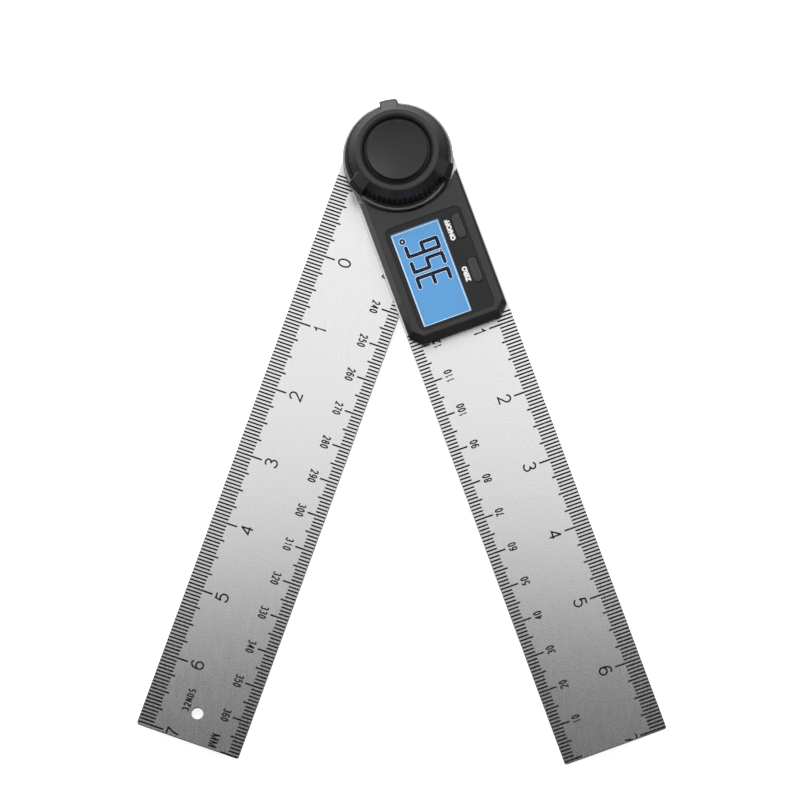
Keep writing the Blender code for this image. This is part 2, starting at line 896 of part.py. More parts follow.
def lens(parent):
    """The clear window: a plate in the opening, on a lip that holds it from behind."""
    left = window_left + lens_lip
    right = window_right + lens_lip
    lip = box(-left, right, window_start - lens_lip, window_end + lens_lip)
    lip_top = lens_lip_bottom + lens_lip_thickness
    bm = prism(bmesh.new(), lip, lens_lip_bottom, lip_top)
    body = finish_object("display_lens", bm, parent, "clear_lens")
    left = window_left - blade_gap
    right = window_right - blade_gap
    plate = box(-left, right, window_start + blade_gap, window_end - blade_gap)
    middle = (lens_lip_bottom + lip_top) / 2
    bm = prism(bmesh.new(), plate, middle, panel_level - blade_gap)
    cut(body, cutter("lens_plate", bm, parent), "UNION")


def main_board(parent):
    outline = box(-board_half_width, board_half_width, board_start, board_end)
    bm = prism(bmesh.new(), outline, board_bottom, board_top)
    body = finish_object("main_board", bm, parent, "board")
    for number, place in enumerate(screw_places):
        radius = boss_radius + sliding_clearance
        hole = f"board_notch_{number}"
        span = (board_bottom - overrun, board_top + overrun)
        drill(body, hole, radius, parent, place, small_sides, span)
    low = board_top + blade_gap
    half = chip_size / 2
    outline = box(-half, half, -half, half)
    bm = prism(bmesh.new(), outline, low, low + chip_height)
    finish_object("controller_chip", bm, parent, "chip", (button_across, -chip_place, 0))


def tact_switches(parent):
    """A flat switch body under each button, with a round plunger on it."""
    half = switch_size / 2
    low = board_top + blade_gap
    top = low + switch_height
    for name, along in (("on_off_switch", on_off_place), ("zero_switch", zero_place)):
        place = (button_across, -along, 0)
        bm = prism(bmesh.new(), box(-half, half, -half, half), low, top)
        body = finish_object(name, bm, parent, "turned_steel", place)
        pin = rod(switch_plunger, (low + top) / 2, top + switch_plunger_height)
        cut(body, cutter(f"{name}_plunger", pin, parent, place), "UNION")


def button(name, along, parent):
    """A rounded key that stands in its slot, on a wider flange under the cover."""
    carrier = frame_empty(f"{name}_axis", 0, parent, (button_across, -along, 0))
    flange_top = roof_underside - blade_gap
    flange_low = flange_top - button_flange_thickness
    top = panel_level + button_proud
    bm = prism(bmesh.new(), key_outline(0), flange_low, top)
    body = finish_object(name, bm, carrier, "button_rubber")
    soften(body, button_edge)
    flange = prism(bmesh.new(), key_outline(button_flange), flange_low, flange_top)
    cut(body, cutter(f"{name}_flange", flange, carrier), "UNION")


def housing_screws(parent):
    """Countersunk screws from the back of the blade into the cover's bosses."""
    profile = [
        (0, screw_bottom),
        (screw_head_radius, screw_bottom),
        (screw_radius, display_bottom + screw_head_height),
        (screw_radius, display_bottom + screw_length),
        (0, display_bottom + screw_length),
    ]
    for number, (across, along) in enumerate(screw_places, 1):
        name = f"housing_screw_{number}"
        place = (across, -along, 0)
        finish_object(name, lathe(profile, small_sides), parent, "turned_steel", place)


def coin_cell(parent):
    profile = [
        (0, cell_bottom),
        (cell_radius - cell_edge, cell_bottom),
        (cell_radius, cell_bottom + cell_edge),
        (cell_radius, cell_top - cell_edge),
        (cell_radius - cell_edge, cell_top),
        (0, cell_top),
    ]
    finish_object("coin_cell", lathe(profile), parent, "turned_steel", (0, -cell_place, 0))


def cell_contacts(parent):
    """A leaf over the cell and a clip beside it, both under the board."""
    place = (0, -cell_place, 0)
    leaf_low = cell_top + (board_bottom - cell_top - leaf_thickness) / 2
    half = leaf_width / 2
    leaf = box(-half, half, -cell_radius, cell_radius)
    bm = prism(bmesh.new(), leaf, leaf_low, leaf_low + leaf_thickness)
    finish_object("cell_leaf_contact", bm, parent, "brass", place)
    side = cell_radius + fitted_clearance
    half = clip_width / 2
    clip = box(-side - clip_thickness, -side, -half, half)
    low = lug_bottom + cover_lug_height + sliding_clearance
    bm = prism(bmesh.new(), clip, low, board_bottom - blade_gap)
    finish_object("cell_side_contact", bm, parent, "brass", place)


def battery_cover(parent):
    carrier = frame_empty("battery_cover_axis", 0, parent, (0, -cell_place, 0))
    top = lug_bottom + cover_lug_height
    profile = [
        (0, cover_bottom),
        (cover_radius, cover_bottom),
        (cover_radius, cover_plate_top),
        (cover_ring_radius, cover_plate_top),
        (cover_ring_radius, top),
        (cover_ring_bore, top),
        (cover_ring_bore, cover_plate_top),
        (0, cover_plate_top),
    ]
    body = finish_object("battery_cover", lathe(profile), carrier, "housing_plastic")
    for number in range(cover_lug_count):
        start = cover_lug_start + number * full_turn / cover_lug_count
        bm = prism(bmesh.new(), lug_outline(start), lug_bottom, top)
        cut(body, cutter(f"cover_lug_{number}", bm, carrier), "UNION")
    half = cover_slot_width / 2
    reach = cover_slot_length / 2
    slot = box(-half, half, -reach, reach)
    bm = prism(bmesh.new(), slot, cover_bottom - overrun, cover_bottom + cover_slot_depth)
    cut(body, cutter("coin_slot_cut", bm, carrier))


def lug_outline(start):
    """A sector that bites into the cover's ring and reaches past it."""
    root = cover_ring_bore + cover_ring_wall / 2
    outer = []
    inner = []
    for step in range(corner_steps + 1):
        turn = math.radians(start + cover_lug_span * step / corner_steps)
        outer.append((cover_lug_radius * math.cos(turn), cover_lug_radius * math.sin(turn)))
        inner.append((root * math.cos(turn), root * math.sin(turn)))
    return outer + inner[::-1]


def encoder_cable(parent):
    """A flat cable that runs under the dial, into the housing and up to the board."""
    near = stator_outer_radius + blade_gap
    far = board_start + cable_rise_inset
    low = deck + blade_gap
    high = board_bottom - blade_gap
    bend = [
        (near, low),
        (far + cable_thickness / 2, low),
        (far + cable_thickness / 2, high),
        (far - cable_thickness / 2, high),
        (far - cable_thickness / 2, low + cable_thickness),
        (near, low + cable_thickness),
    ]
    bm = bmesh.new()
    half = cable_width / 2
    sides = [[bm.verts.new((x, -along, z)) for along, z in bend] for x in (-half, half)]
    bm.faces.new(sides[0])
    bm.faces.new(sides[1])
    for here in range(len(bend)):
        after = (here + 1) % len(bend)
        bm.faces.new((sides[0][here], sides[0][after], sides[1][after], sides[1][here]))
    finish_object("encoder_cable", bm, parent, "cable_film")


def build():
    clear_scene()
    display_frame = frame_empty("display_arm_frame", display_swing)
    plain_frame = frame_empty("plain_arm_frame", -plain_swing)
    knob_frame = frame_empty("lock_knob_axis")
    display_arm(display_frame)
    pivot_bush(display_frame)
    blade_washer(display_frame)
    housing_base(display_frame)
    housing_cover(display_frame)
    display_stack(display_frame)
    main_board(display_frame)
    tact_switches(display_frame)
    button("on_off_button", on_off_place, display_frame)
    button("zero_button", zero_place, display_frame)
    housing_screws(display_frame)
    coin_cell(display_frame)
    cell_contacts(display_frame)
    battery_cover(display_frame)
    encoder_cable(display_frame)
    encoder(display_frame, plain_frame)
    plain_arm(plain_frame)
    pivot_shaft(plain_frame)
    hub_rivets(plain_frame)
    rear_cap(plain_frame)
    wave_washer(plain_frame)
    dial_disc(plain_frame)
    thrust_washer(knob_frame)
    knob_body(knob_frame)
    knob_insert(knob_frame)
    knob_cap(knob_frame)


build()
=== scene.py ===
"""The looks of the digital angle finder: its finishes, printed scales, display and words.

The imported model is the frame. Sizes that it holds are read from it, and the rest are named
here in millimetres. Each arm has its own directions: along it from the pivot, and across it
to the right of someone who stands at the pivot's far side and looks down the arm.
"""

import math

import bmesh
import bpy
from mathutils import Matrix, Vector


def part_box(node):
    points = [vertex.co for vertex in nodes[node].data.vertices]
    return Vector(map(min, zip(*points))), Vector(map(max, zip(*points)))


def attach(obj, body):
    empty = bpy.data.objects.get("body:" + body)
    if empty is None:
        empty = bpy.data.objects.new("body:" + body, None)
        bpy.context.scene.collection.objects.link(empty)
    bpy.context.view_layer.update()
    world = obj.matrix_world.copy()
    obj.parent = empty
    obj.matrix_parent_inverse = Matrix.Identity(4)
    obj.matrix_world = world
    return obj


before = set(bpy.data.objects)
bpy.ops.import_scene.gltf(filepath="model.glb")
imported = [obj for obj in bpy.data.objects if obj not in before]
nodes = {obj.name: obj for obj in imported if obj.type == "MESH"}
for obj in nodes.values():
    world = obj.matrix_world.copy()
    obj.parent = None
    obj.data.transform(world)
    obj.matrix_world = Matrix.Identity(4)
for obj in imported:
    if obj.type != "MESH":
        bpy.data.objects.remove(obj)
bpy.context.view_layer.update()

mm = 0.001

# How near a blade's reach a point of it lies to count as one of its far corners
blade_corner_zone = 0.05 * mm

# How many numbered pieces of the frame there are
hub_rivets = 4
housing_screws = 4

# Printed scales: how deep the marks reach in from the edge, and where the numbers stand
mark_width = 0.45 * mm
mark_edge_gap = 0.1 * mm
ink_height = 0.012 * mm
ink_depth = 0.03 * mm
ink_step = 0.002 * mm
inch_mark = 4.5 * mm
inch_quarter_mark = 5.4 * mm
inch_long_mark = 7.3 * mm
inch_digit_foot = 11.9 * mm
inch_digit_height = 3.7 * mm
inch_digit_width = 2.45 * mm
inch_digit_stroke = 0.44 * mm
inch_digit_gap = 0.5 * mm
metric_mark = 3.0 * mm
metric_half_mark = 3.9 * mm
metric_long_mark = 5.1 * mm
metric_digit_foot = 8.25 * mm
metric_digit_height = 2.35 * mm
metric_digit_width = 1.05 * mm
metric_digit_stroke = 0.36 * mm
metric_digit_gap = 0.17 * mm
marks_per_inch_label = 20
marks_per_quarter = 5
marks_per_ten = 10
marks_per_five = 5

# The scales' own pitch and start, as they lie on each arm
display_inch_start = 52.45 * mm
display_inch_pitch = 19.83 * mm
display_inch_labels = range(1, 8)
display_inch_lead = 3
display_metric_zero = 171.3 * mm
display_metric_pitch = 1.0026 * mm
display_metric_top = 124
plain_inch_zero = 31.35 * mm
plain_inch_pitch = 19.57 * mm
plain_inch_labels = range(0, 8)
plain_inch_lead = 23
plain_metric_start = 26.2 * mm
plain_metric_pitch = 0.992 * mm
plain_metric_first = 226
plain_metric_last = 370
inch_words_place = 158.5 * mm
inch_words_foot = 12.2 * mm
inch_words_height = 2.1 * mm
inch_words_width = 1.06 * mm
inch_words_stroke = 0.37 * mm
inch_words_gap = 0.27 * mm
metric_words_place = 166.7 * mm
metric_words_foot = 9.05 * mm
metric_words_height = 2.7 * mm
metric_words_width = 1.7 * mm
metric_words_stroke = 0.4 * mm
metric_words_gap = 0.35 * mm

# A character's height and width, the width of its strokes, and the gap to the next
inch_size = (inch_digit_height, inch_digit_width, inch_digit_stroke, inch_digit_gap)
metric_size = (
    metric_digit_height, metric_digit_width, metric_digit_stroke, metric_digit_gap
)
inch_words_size = (
    inch_words_height, inch_words_width, inch_words_stroke, inch_words_gap
)
metric_words_size = (
    metric_words_height, metric_words_width, metric_words_stroke, metric_words_gap
)

# The liquid crystal display: its digits are read towards the pivot
digit_height = 9.75 * mm
digit_width = 3.72 * mm
digit_stroke = 1.02 * mm
digit_joint_gap = 0.1 * mm
digit_halo = 0.13 * mm
halo_height = 0.006 * mm
digit_pitch = 4.55 * mm
first_digit_place = 35.17 * mm
digits_across = -2.3 * mm
degree_place = 22.83 * mm
degree_across = -6.97 * mm
degree_radius = 0.84 * mm
degree_bore = 0.28 * mm
point_place = 28.5 * mm
point_across = 2.1 * mm
point_radius = 0.26 * mm
segment_height = 0.03 * mm
bar_step = 0.0003 * mm
display_line_width = 0.32 * mm
display_line_lip = 0.35 * mm
spot_sides = 24

# How strongly finishes bend light, which sets their gloss, and how brightly two of them glow
plastic_bend = 1.45
panel_bend = 1.33
cap_bend = 1.37
ink_bend = 1.2
display_bend = 1.2
lcd_glow = 1.15
line_glow = 0.45

# Edges broken with a bevel, and how near two points lie to be one
plastic_edge = 0.22 * mm
knob_edge = 0.2 * mm
steel_edge = 0.1 * mm
key_edge = 0.12 * mm
edge_segments = 2
sharp_angle = math.radians(35)
weld_reach = 0.001 * mm

# The size of the grain in each finish, and how deep it is where it can be felt
simple_detail = 2.0
fine_detail = 3.0
blade_grain = 0.25 * mm
blade_grain_depth = 0.01 * mm
blade_bump_share = 0.2
moulded_bump_share = 0.3
rolled_grain = 0.5 * mm
rolled_stretch = 14.0
rolled_share = 0.25
turned_grain = 0.3 * mm
brass_grain = 0.4 * mm
housing_grain = 0.25 * mm
housing_grain_depth = 0.01 * mm
knob_grain = 0.2 * mm
knob_grain_depth = 0.006 * mm
cap_grain_depth = 0.005 * mm
# The grain of the pale finish that paints a highlight along broken edges
edge_highlight_grain_depth = 0.004 * mm
rubber_grain = 0.3 * mm
rubber_grain_depth = 0.01 * mm
broad_grains = 12
ink_grain = 0.3 * mm
display_grain = 0.4 * mm
label_grain = 0.2 * mm
glass_grain = 3.0 * mm
lens_grain = 2.0 * mm
panel_grain = 0.3 * mm
board_grain = 1.5 * mm
nylon_grain = 0.8 * mm
milky_grain = 1.0 * mm
strip_grain = 0.2 * mm
chip_grain = 0.2 * mm
film_grain = 0.5 * mm
floor_grain = 20.0 * mm

# Which part of the noise's range is spread over a finish, and how far a finish varies
noise_low_share = 0.3
noise_high_share = 0.7
darker_share = 0.82
lighter_share = 1.18
roughness_below = 0.05
roughness_above = 0.07

# The front sheet over the panel
housing_slope = 1.2 * mm
window_drop = 0.1 * mm
sheet_lift = 0.01 * mm
sheet_thickness = 0.05 * mm
sheet_gap = 0.2 * mm
sheet_corner = 1.6 * mm
key_corner = 1.1 * mm
sheet_window_corner = 0.15 * mm
panel_rim = 1.8 * mm
panel_near_window = 1.45 * mm
panel_far_rim = 0.9 * mm
key_flange_margin = -0.2 * mm
corner_steps = 6

# Words beside the buttons
letter_thickness_share = 0.02
letter_curve_steps = 6
label_height = 1.45 * mm
label_bold_share = 0.075
label_foot = 6.95 * mm
on_off_label_place = 24.5 * mm
zero_label_place = 37.5 * mm
label_squeeze_share = 0.95

# Studio, in metres. The floor lies just under the tool, so that no two faces coincide. A card
# has the brightness that a white surface shows in its full light. The shares of the
# surroundings are heights over the horizon, from 0 to 1 straight up.
floor_half = 12.0
floor_drop = 0.02 * mm
floor_glow = 0.75
room_level = 0.08
room_low_level = 0.01
room_height_share = 0.5
band_side = (-0.25, 0.97, 0.0)
band_height_share = 0.65
band_depth_share = 0.9
band_blend_share = 0.1
upper_band_level = 1.3
lower_band_level = 3.5
overhead_near = -0.054
overhead_depth = 1.5
overhead_level = 0.34
overhead_size = (1.9, overhead_depth)
overhead_place = (0.0, overhead_near + overhead_depth / 2, overhead_level)
overhead_aim = (0.0, overhead_near + overhead_depth / 2, 0.0)
overhead_radiance = 1.38
glint_place = (0.09, 0.185, 0.33)
glint_aim = (0.09, 0.185, 0.0)
glint_size = (0.12, 0.12)
glint_radiance = 4.0
key_place = (-0.6, 0.9, 0.35)
key_aim = (0.0, -0.02, 0.01)
key_size = (0.7, 0.4)
key_radiance = 4.0

# The camera: the turns of its view from straight down, its distance, and where it looks
view_tilt = math.radians(12.1)
view_side = math.radians(1.8)
view_distance = 2.4167
view_target = Vector((0.000416, -0.0665, 0.0045))
view_lens = 402.3
sensor = 36.0

# The seven segments of a digit, in shares of its width and height, and which ones light up
segment_end_shares = {
    "a": ((0, 1), (1, 1)),
    "b": ((1, 1), (1, 0.5)),
    "c": ((1, 0.5), (1, 0)),
    "d": ((0, 0), (1, 0)),
    "e": ((0, 0), (0, 0.5)),
    "f": ((0, 0.5), (0, 1)),
    "g": ((0, 0.5), (1, 0.5)),
}
lit_segments = ("abgcd", "afgcd", "afgecd")

# Strokes of the scales' characters, in shares of a character's width and height. A stroke is
# a row of points, and of arcs given by a centre, two radii and two angles in degrees.
glyph_shares = {
    "0": [[(0.5, 0.5, 0.5, 0.5, 0, 360)]],
    "1": [[(0.18, 0.76), (0.44, 0.83), (0.58, 1), (0.58, 0)]],
    "2": [[(0.5, 0.7, 0.47, 0.3, 172, -38), (0, 0), (1, 0)]],
    "3": [[(0.48, 0.765, 0.43, 0.235, 158, -90), (0.48, 0.265, 0.5, 0.265, 90, -160)]],
    "4": [[(0.75, 0), (0.75, 1)], [(0.75, 1), (0, 0.3), (1, 0.3)]],
    "5": [[(0.92, 1), (0.2, 1), (0.08, 0.5)], [(0.47, 0.33, 0.53, 0.33, 140, -152)]],
    "6": [[(0.5, 0.31, 0.5, 0.31, 0, 360)], [(0.56, 0.5, 0.56, 0.5, 48, 188)]],
    "7": [[(0, 1), (1, 1), (0.62, 0.5), (0.42, 0)]],
    "8": [[(0.5, 0.765, 0.42, 0.235, 0, 360)], [(0.5, 0.265, 0.5, 0.265, 0, 360)]],
    "9": [[(0.5, 0.69, 0.5, 0.31, 0, 360)], [(0.44, 0.5, 0.56, 0.5, 228, 368)]],
    "M": [[(0, 0), (0, 1)], [(0, 1), (0.5, 0.05), (1, 1)], [(1, 1), (1, 0)]],
    "N": [[(0, 0), (0, 1)], [(0, 1), (1, 0)], [(1, 0), (1, 1)]],
    "D": [[(0, 0), (0, 1)], [(0, 1), (0.4, 0.5, 0.6, 0.5, 90, -90), (0, 0)]],
    "S": [[(0.5, 0.75, 0.46, 0.25, 25, 270), (0.5, 0.25, 0.5, 0.25, 75, -155)]],
}
arc_step = 15.0
bar_end_steps = 6
sharpest_turn_share = 0.45


def top_of(node):
    """The level of a node's highest point."""
    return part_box(node)[1].z


def arm_turn(node):
    """The turn of an arm about the pivot, away from -Y, read from its two far corners."""
    points = [vertex.co.xy for vertex in nodes[node].data.vertices]
    reach = max(point.length for point in points)
    far = [math.atan2(p.x, -p.y) for p in points if p.length > reach - blade_corner_zone]
    return (min(far) + max(far)) / 2


def arm_reach(node, turn):
    """How far an arm reaches from the pivot along itself."""
    along = Vector((math.sin(turn), -math.cos(turn)))
    return max(vertex.co.xy.dot(along) for vertex in nodes[node].data.vertices)


display_turn = arm_turn("display_blade")
plain_turn = arm_turn("plain_blade")
display_reach = arm_reach("display_blade", display_turn)
plain_reach = arm_reach("plain_blade", plain_turn)
half_width = arm_reach("plain_blade", plain_turn + math.pi)
deck = top_of("display_blade")
plain_deck = top_of("plain_blade")
panel_top = top_of("display_lens") + window_drop

# Materials


def look(name, colour, roughness, metallic=0.0):
    """A Principled material with its colour, roughness and metallic value on the sockets."""
    made = bpy.data.materials.new(name)
    made.use_nodes = True
    shader = made.node_tree.nodes["Principled BSDF"]
    shader.inputs["Base Color"].default_value = (*colour, 1.0)
    shader.inputs["Roughness"].default_value = roughness
    shader.inputs["Metallic"].default_value = metallic
    return made


def shader_of(material):
    """The node that holds a material's settings."""
    return material.node_tree.nodes["Principled BSDF"]


def grain(material, size, stretch=1.0, turn=0.0, detail=simple_detail):
    """Noise with spots of this size, drawn out along a direction in the floor's plane."""
    tree = material.node_tree
    place = tree.nodes.new("ShaderNodeTexCoord")
    mapping = tree.nodes.new("ShaderNodeMapping")
    mapping.inputs["Rotation"].default_value = (0, 0, -turn)
    mapping.inputs["Scale"].default_value = (1, 1 / stretch, 1)
    noise = tree.nodes.new("ShaderNodeTexNoise")
    noise.inputs["Scale"].default_value = 1 / size
    noise.inputs["Detail"].default_value = detail
    tree.links.new(place.outputs["Object"], mapping.inputs["Vector"])
    tree.links.new(mapping.outputs["Vector"], noise.inputs["Vector"])
    return noise.outputs["Fac"]


def between(material, share, low, high):
    """Turns a noise value into one that runs from low to high."""
    tree = material.node_tree
    ranged = tree.nodes.new("ShaderNodeMapRange")
    ranged.inputs["From Min"].default_value = noise_low_share
    ranged.inputs["From Max"].default_value = noise_high_share
    ranged.inputs["To Min"].default_value = low
    ranged.inputs["To Max"].default_value = high
    tree.links.new(share, ranged.inputs["Value"])
    return ranged.outputs["Result"]


def vary_colour(material, share, dark, light):
    """Runs the base colour between two colours."""
    tree = material.node_tree
    ramp = tree.nodes.new("ShaderNodeValToRGB")
    ramp.color_ramp.elements[0].position = noise_low_share
    ramp.color_ramp.elements[1].position = noise_high_share
    ramp.color_ramp.elements[0].color = (*dark, 1.0)
    ramp.color_ramp.elements[1].color = (*light, 1.0)
    tree.links.new(share, ramp.inputs["Fac"])
    tree.links.new(ramp.outputs["Color"], shader_of(material).inputs["Base Color"])


def vary_roughness(material, share, low, high):
    """Runs the roughness between two values."""
    result = between(material, share, low, high)
    material.node_tree.links.new(result, shader_of(material).inputs["Roughness"])


def emboss(material, share, strength, depth):
    """Bump from a noise value."""
    tree = material.node_tree
    bump = tree.nodes.new("ShaderNodeBump")
    bump.inputs["Strength"].default_value = strength
    bump.inputs["Distance"].default_value = depth
    tree.links.new(share, bump.inputs["Height"])
    tree.links.new(bump.outputs["Normal"], shader_of(material).inputs["Normal"])


def mixed(material, first, second, share=0.5):
    """A blend of two noise values."""
    tree = material.node_tree
    blend = tree.nodes.new("ShaderNodeMix")
    blend.inputs["Factor"].default_value = share
    tree.links.new(first, blend.inputs["A"])
    tree.links.new(second, blend.inputs["B"])
    return blend.outputs["Result"]


def blade_steel(name, turn):
    """Satin steel: a fine etched grain over faint lengthwise rolling marks."""
    made = look(name, (0.6, 0.6, 0.6), 0.3, 1.0)
    fine = grain(made, blade_grain, detail=fine_detail)
    drawn = grain(made, rolled_grain, stretch=rolled_stretch, turn=turn)
    both = mixed(made, fine, drawn, rolled_share)
    vary_colour(made, both, (0.53, 0.53, 0.53), (0.62, 0.62, 0.62))
    vary_roughness(made, both, 0.23, 0.31)
    emboss(made, both, blade_bump_share, blade_grain_depth)
    return made


def turned_steel():
    """The smoother steel of small turned, pressed and plated pieces."""
    made = look("turned_steel", (0.56, 0.56, 0.56), 0.28, 1.0)
    fine = grain(made, turned_grain)
    vary_colour(made, fine, (0.5, 0.5, 0.5), (0.6, 0.6, 0.6))
    vary_roughness(made, fine, 0.22, 0.34)
    return made


def brass():
    """Warm machined brass, for bushes, washers and contacts."""
    made = look("brass", (0.72, 0.52, 0.2), 0.3, 1.0)
    fine = grain(made, brass_grain)
    vary_colour(made, fine, (0.66, 0.46, 0.17), (0.76, 0.56, 0.24))
    vary_roughness(made, fine, 0.24, 0.38)
    return made


def moulded(name, tone, roughness, size, depth):
    """Dark moulded plastic with a fine spark-eroded grain and a little wear in its gloss."""
    made = look(name, tone, roughness)
    shader_of(made).inputs["IOR"].default_value = plastic_bend
    fine = grain(made, size, detail=fine_detail)
    broad = grain(made, broad_grains * size)
    darker = tuple(darker_share * value for value in tone)
    lighter = tuple(lighter_share * value for value in tone)
    vary_colour(made, mixed(made, fine, broad), darker, lighter)
    vary_roughness(made, fine, roughness - roughness_below, roughness + roughness_above)
    emboss(made, fine, moulded_bump_share, depth)
    return made


def ink():
    """Etched and filled marks: near black and dull."""
    made = look("scale_ink", (0.005, 0.005, 0.005), 0.6)
    shader_of(made).inputs["IOR"].default_value = ink_bend
    fine = grain(made, ink_grain)
    vary_colour(made, fine, (0.003, 0.003, 0.003), (0.008, 0.008, 0.009))
    vary_roughness(made, fine, 0.55, 0.65)
    return made


def lcd_glass():
    """The lit display: an even sky blue with a trace of the diffuser's grain."""
    made = look("lcd_glass", (0.05, 0.16, 0.3), 0.25)
    shader = shader_of(made)
    cloud = grain(made, glass_grain)
    shader.inputs["IOR"].default_value = display_bend
    vary_colour(made, cloud, (0.022, 0.09, 0.19), (0.028, 0.105, 0.21))
    shader.inputs["Emission Color"].default_value = (0.1, 0.29, 0.56, 1.0)
    shader.inputs["Emission Strength"].default_value = lcd_glow
    vary_roughness(made, cloud, 0.3, 0.36)
    return made


def lcd_ink():
    """The dark figures of the display, a deep blue."""
    made = look("lcd_ink", (0.003, 0.012, 0.045), 0.5)
    shader_of(made).inputs["IOR"].default_value = display_bend
    vary_colour(made, grain(made, display_grain), (0.002, 0.009, 0.036), (0.004, 0.013, 0.052))
    return made


def display_line():
    """The pale border of the display and the fringe of its figures, lit from behind."""
    made = look("display_line", (0.75, 0.85, 0.92), 0.3)
    shader_of(made).inputs["Emission Color"].default_value = (0.7, 0.88, 1.0, 1.0)
    shader_of(made).inputs["Emission Strength"].default_value = line_glow
    vary_colour(made, grain(made, display_grain), (0.7, 0.8, 0.88), (0.8, 0.9, 0.95))
    return made


def label_ink():
    """The white print beside the buttons."""
    made = look("label_ink", (0.85, 0.85, 0.85), 0.45)
    vary_colour(made, grain(made, label_grain), (0.78, 0.78, 0.78), (0.9, 0.9, 0.9))
    return made


def clear_lens():
    """Clear acrylic over the display: it lets its own colour through and keeps a sheen."""
    made = look("clear_lens", (0.02, 0.03, 0.05), 0.06)
    shader_of(made).inputs["Alpha"].default_value = 0.08
    vary_roughness(made, grain(made, lens_grain), 0.04, 0.09)
    return made


def panel_black():
    """The printed back of the clear front sheet: black under a low gloss."""
    made = look("panel_black", (0.006, 0.006, 0.007), 0.35)
    shader_of(made).inputs["IOR"].default_value = panel_bend
    fine = grain(made, panel_grain)
    vary_colour(made, fine, (0.005, 0.005, 0.006), (0.009, 0.009, 0.01))
    vary_roughness(made, fine, 0.3, 0.42)
    return made


def plain_finish(name, dark, light, roughness, size):
    """A finish with one grain, from its darkest to its lightest colour."""
    made = look(name, light, roughness)
    fine = grain(made, size)
    vary_colour(made, fine, dark, light)
    vary_roughness(made, fine, roughness - roughness_below, roughness + roughness_below)
    return made


def paint(material, *names):
    """Gives nodes of the frame a finish."""
    for name in names:
        mesh = nodes[name].data
        mesh.materials.clear()
        mesh.materials.append(material)


# Meshes


def put(name, bm, body, material, turn):
    """Makes a piece of a mesh drawn in an arm's own directions, and lets it ride a body."""
    bmesh.ops.recalc_face_normals(bm, faces=bm.faces)
    mesh = bpy.data.meshes.new(name)
    bm.to_mesh(mesh)
    bm.free()
    mesh.transform(Matrix.Rotation(turn, 4, "Z"))
    mesh.materials.append(material)
    piece = bpy.data.objects.new(name, mesh)
    bpy.context.scene.collection.objects.link(piece)
    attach(piece, body)


def prism(bm, outline, low, high):
    """A closed solid over an outline of across and y values."""
    under = [bm.verts.new((x, y, low)) for x, y in outline]
    over = [bm.verts.new((x, y, high)) for x, y in outline]
    bm.faces.new(under)
    bm.faces.new(over)
    for here in range(len(outline)):
        after = (here + 1) % len(outline)
        bm.faces.new((under[here], under[after], over[after], over[here]))


def mark(bm, along, edge, depth, level):
    """One line of a scale, from the arm's edge inwards. The edge's sign gives the side."""
    side = math.copysign(1.0, edge)
    outer = edge - side * mark_edge_gap
    inner = edge - side * depth
    half = mark_width / 2
    outline = [(outer, -along - half), (outer, -along + half)]
    outline += [(inner, -along + half), (inner, -along - half)]
    prism(bm, outline, level - ink_depth, level + ink_height)


def stroke_points(stroke):
    """The points of a stroke, with its arcs spelled out, and whether it closes on itself."""
    points = []
    closed = False
    for part in stroke:
        if len(part) == 2:
            points.append(Vector(part))
            continue
        x, y, across, up, start, end = part
        closed = abs(end - start) == 360
        steps = round(abs(end - start) / arc_step)
        for step in range(steps + 1 - closed):
            turn = math.radians(start + (end - start) * step / steps)
            points.append(Vector((x + across * math.cos(turn), y + up * math.sin(turn))))
    return points, closed


def edges_of_line(points, width, closed):
    """The two sides of a line of this width, with mitred corners."""
    left = []
    right = []
    count = len(points)
    for here, point in enumerate(points):
        before = points[here - 1] if here or closed else point
        after = points[(here + 1) % count] if here + 1 < count or closed else point
        ways = [(b - a).normalized() for a, b in ((before, point), (point, after)) if a != b]
        normals = [Vector((-way.y, way.x)) for way in ways]
        middle = (normals[0] + normals[-1]).normalized()
        reach = width / 2 / max(middle.dot(normals[0]), sharpest_turn_share)
        left.append(point + middle * reach)
        right.append(point - middle * reach)
    return left, right


def line_solid(bm, points, width, closed, low, high):
    """A flat closed solid along a line."""
    left, right = edges_of_line(points, width, closed)
    rings = []
    for near, far in zip(left, right):
        corners = [(near, high), (near, low), (far, low), (far, high)]
        rings.append([bm.verts.new((spot.x, spot.y, level)) for spot, level in corners])
    pairs = list(zip(rings, rings[1:]))
    if closed:
        pairs.append((rings[-1], rings[0]))
    else:
        bm.faces.new(rings[0])
        bm.faces.new(rings[-1])
    for here, after in pairs:
        for corner in range(4):
            other = (corner + 1) % 4
            bm.faces.new((here[corner], here[other], after[other], after[corner]))


def print_words(bm, words, along, foot, size, level):
    """Prints words on an arm, with their heads towards the edge on the foot's side.

    Size is a character's height and width, the stroke's width and the gap between characters.
    """
    height, width, stroke, gap = size
    side = math.copysign(1.0, foot)
    start = -(len(words) * (width + gap) - gap) / 2
    for place, letter in enumerate(words):
        left = start + place * (width + gap) + stroke / 2
        for number, line in enumerate(glyph_shares[letter]):
            shares, closed = stroke_points(line)
            points = []
            for share in shares:
                x = left + share.x * (width - stroke)
                y = stroke / 2 + share.y * (height - stroke)
                points.append(Vector((foot + side * y, -along - side * x)))
            top = level + ink_height - number * ink_step
            line_solid(bm, points, stroke, closed, level - ink_depth, top)


